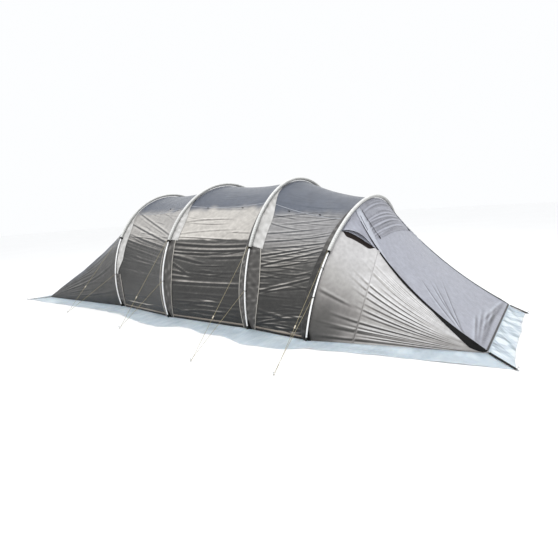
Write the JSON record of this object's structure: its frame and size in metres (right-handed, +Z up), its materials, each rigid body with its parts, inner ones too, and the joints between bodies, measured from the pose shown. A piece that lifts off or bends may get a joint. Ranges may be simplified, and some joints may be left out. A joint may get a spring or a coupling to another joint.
{
  "type": "tunnel tent",
  "caption": "Long tunnel tent on arched poles: sagging fabric bays, sloping ends, folding front side doors, vent hoods, ground skirts, and pegged guylines with runners.",
  "frame": {"origin": "on the ground in the middle of the tent's outline, halfway between its front and rear corner pegs and halfway between its two sides", "axes": "+X to the front door end, +Y to the side away from the usual view, +Z up"},
  "size_m": [8.5982, 5.0214, 2.0074],
  "materials": {
    "pole": "satin",
    "sleeve": "silver-grey woven sleeve with a slight sheen",
    "fly": "dark grey-brown coated cloth, glossy",
    "door": "taupe coated cloth, satin",
    "front_panel": "blue-grey coated cloth, satin",
    "skirt": "pale translucent sheet",
    "groundsheet": "matte coated sheet",
    "cord": "braided cord",
    "runner": "moulded",
    "webbing": "woven tape",
    "peg": "bright wire",
    "slider": "black"
  },
  "bodies": {
    "tent": {"pole_1": "pole", "pole_sleeve_1": "sleeve", "pole_2": "pole", "pole_sleeve_2": "sleeve", "pole_3": "pole", "pole_sleeve_3": "sleeve", "pole_4": "pole", "pole_sleeve_4": "sleeve", "fly_bay_1": "fly", "fly_bay_2": "fly", "fly_bay_3": "fly", "fly_rear_side_near": "fly", "fly_rear_roof": "fly", "fly_rear_side_far": "fly", "fly_front_roof": "front_panel", "fly_front_side_near": "door", "fly_front_side_far": "door", "skirt_near": "skirt", "skirt_far": "skirt", "skirt_rear": "skirt", "skirt_front": "skirt", "groundsheet": "groundsheet", "guyline_near_1": "cord", "guy_peg_near_1": "peg", "guyline_far_1": "cord", "guy_peg_far_1": "peg", "guyline_near_2": "cord", "guy_peg_near_2": "peg", "guyline_far_2": "cord", "guy_peg_far_2": "peg", "guyline_near_3": "cord", "guy_peg_near_3": "peg", "guyline_far_3": "cord", "guy_peg_far_3": "peg", "guyline_near_4": "cord", "guy_peg_near_4": "peg", "guyline_far_4": "cord", "guy_peg_far_4": "peg", "corner_strap_rear_near": "webbing", "corner_peg_rear_near": "peg", "corner_strap_rear_far": "webbing", "corner_peg_rear_far": "peg", "corner_strap_front_near": "webbing", "corner_peg_front_near": "peg", "corner_strap_front_far": "webbing", "corner_peg_front_far": "peg"},
    "door_near": {"door_near": "door"},
    "vent_hood_near": {"vent_hood_near": "front_panel"},
    "zip_slider_near": {"zip_slider_near": "slider"},
    "door_far": {"door_far": "door"},
    "vent_hood_far": {"vent_hood_far": "front_panel"},
    "zip_slider_far": {"zip_slider_far": "slider"},
    "runner_near_1": {"runner_near_1": "runner"},
    "runner_far_1": {"runner_far_1": "runner"},
    "runner_near_2": {"runner_near_2": "runner"},
    "runner_far_2": {"runner_far_2": "runner"},
    "runner_near_3": {"runner_near_3": "runner"},
    "runner_far_3": {"runner_far_3": "runner"},
    "runner_near_4": {"runner_near_4": "runner"},
    "runner_far_4": {"runner_far_4": "runner"}
  },
  "joints": [
    {"name": "door_near_fold", "type": "hinge", "parent": "tent", "child": "door_near", "pos_m": [2.72632, -1.29844, 0], "axis": [-0.0958, -0.4801, -0.872], "range_deg": [0, 100]},
    {"name": "vent_hood_near_tilt", "type": "hinge", "parent": "tent", "child": "vent_hood_near", "pos_m": [2.63259, -0.72017, 1.20893], "axis": [-0.6656, 0.0292, 0.7458], "range_deg": [0, 12]},
    {"name": "zip_slider_near_run", "type": "hinge", "parent": "door_near", "child": "zip_slider_near", "pos_m": [5.8239, 0.93849, 3.06968], "axis": [-0.1924, 0.8782, -0.4379], "range_deg": [0, 18.5]},
    {"name": "door_far_fold", "type": "hinge", "parent": "tent", "child": "door_far", "pos_m": [2.72632, 1.29844, 0], "axis": [0.0958, -0.4801, 0.872], "range_deg": [0, 100]},
    {"name": "vent_hood_far_tilt", "type": "hinge", "parent": "tent", "child": "vent_hood_far", "pos_m": [2.63259, 0.72017, 1.20893], "axis": [0.6656, 0.0292, -0.7458], "range_deg": [0, 12]},
    {"name": "zip_slider_far_run", "type": "hinge", "parent": "door_far", "child": "zip_slider_far", "pos_m": [5.8239, -0.93849, 3.06968], "axis": [0.1924, 0.8782, 0.4379], "range_deg": [0, 18.5]},
    {"name": "runner_near_1_slide", "type": "slide", "parent": "tent", "child": "runner_near_1", "axis": [0.3841, 0.503, 0.7742], "range_m": [-0.4, 0.5]},
    {"name": "runner_far_1_slide", "type": "slide", "parent": "tent", "child": "runner_far_1", "axis": [0.3841, -0.503, 0.7742], "range_m": [-0.4, 0.5]},
    {"name": "runner_near_2_slide", "type": "slide", "parent": "tent", "child": "runner_near_2", "axis": [0.1961, 0.5383, 0.8196], "range_m": [-0.4, 0.5]},
    {"name": "runner_far_2_slide", "type": "slide", "parent": "tent", "child": "runner_far_2", "axis": [0.1961, -0.5383, 0.8196], "range_m": [-0.4, 0.5]},
    {"name": "runner_near_3_slide", "type": "slide", "parent": "tent", "child": "runner_near_3", "axis": [-0.0707, 0.744, 0.6644], "range_m": [-0.4, 0.5]},
    {"name": "runner_far_3_slide", "type": "slide", "parent": "tent", "child": "runner_far_3", "axis": [-0.0707, -0.744, 0.6644], "range_m": [-0.4, 0.5]},
    {"name": "runner_near_4_slide", "type": "slide", "parent": "tent", "child": "runner_near_4", "axis": [-0.0166, 0.7529, 0.6579], "range_m": [-0.4, 0.5]},
    {"name": "runner_far_4_slide", "type": "slide", "parent": "tent", "child": "runner_far_4", "axis": [-0.0166, -0.7529, 0.6579], "range_m": [-0.4, 0.5]}
  ]
}
